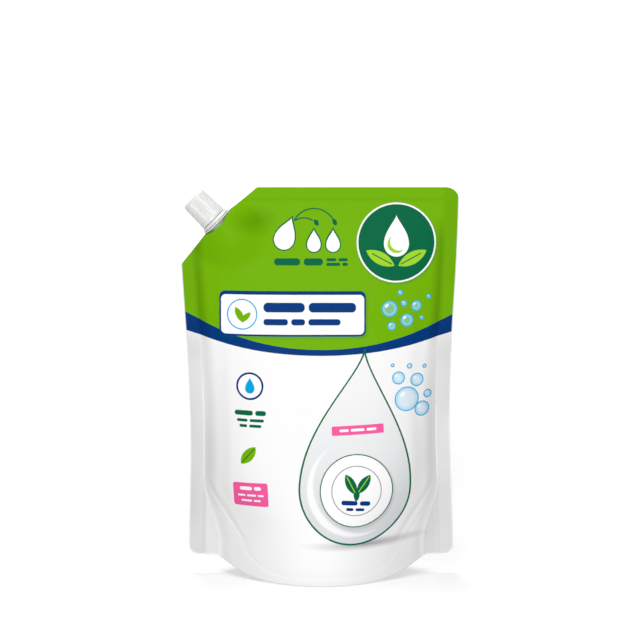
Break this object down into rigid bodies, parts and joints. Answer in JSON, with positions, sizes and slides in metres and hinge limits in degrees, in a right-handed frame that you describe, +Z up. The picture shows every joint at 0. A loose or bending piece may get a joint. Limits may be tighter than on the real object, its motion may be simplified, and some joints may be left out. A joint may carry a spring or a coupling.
{
  "type": "spouted stand-up refill pouch",
  "caption": "Filled stand-up pouch of dish soap refill, printed film with sealed edges and gusset foot, with a corner spout, tamper band and ribbed screw cap.",
  "frame": {"origin": "centre of the bounding box, at the foot that the pouch stands on", "axes": "+Z up, the front panel faces -Y, and the spout is at the upper left of the front panel, on -X"},
  "size_m": [0.1825, 0.0766, 0.26],
  "materials": {
    "printed_film": "satin laminate film, green above, navy band, white below",
    "natural_plastic": "translucent natural white moulding"
  },
  "bodies": {
    "pack": {"pouch": "printed_film", "spout": "natural_plastic"},
    "band": {"tamper_band": "natural_plastic"},
    "cap": {"cap": "natural_plastic"}
  },
  "joints": [
    {"name": "cap_turn", "type": "hinge", "parent": "pack", "child": "band", "pos_m": [-0.06719, 0, 0.23679], "axis": [-0.7071, 0, 0.7071], "range_deg": [0, 540]},
    {"name": "cap_lift", "type": "slide", "parent": "band", "child": "cap", "axis": [-0.7071, 0, 0.7071], "range_m": [0, 0.0045]}
  ],
  "couplings": [
    {"joint": "cap_lift", "follows": "cap_turn", "m_per_rad": 0.00047746}
  ]
}
